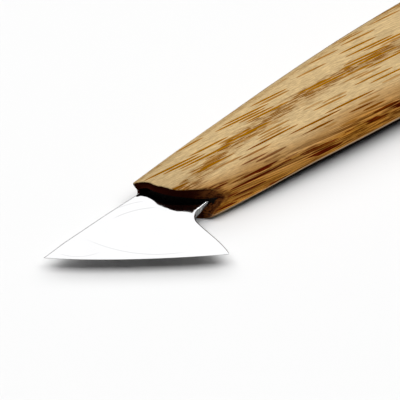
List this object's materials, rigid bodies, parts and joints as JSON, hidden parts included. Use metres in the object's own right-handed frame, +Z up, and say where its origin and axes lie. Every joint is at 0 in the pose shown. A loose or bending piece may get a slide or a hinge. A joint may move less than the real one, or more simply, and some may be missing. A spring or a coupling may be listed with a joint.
{
  "type": "wood carving knife",
  "caption": "Skew carving knife: a hollow ground, polished straight-edged blade with a tang, glued into a slanted slot mouth in a flattened oval oak handle with a rounded butt.",
  "frame": {"origin": "on the flat underside of the handle, on the handle's axis, two fifths of the handle's length behind its front", "axes": "+X along the handle from the tip to the butt, +Y towards the spine side, +Z up from the face the knife lies on"},
  "size_m": [0.1604, 0.0338, 0.0142],
  "materials": {
    "polished_steel": "mirror polished",
    "oiled_oak": "oiled",
    "dark_epoxy": "glossy, cured"
  },
  "bodies": {
    "root": {"blade": "polished_steel", "handle": "oiled_oak", "epoxy": "dark_epoxy"}
  },
  "joints": []
}
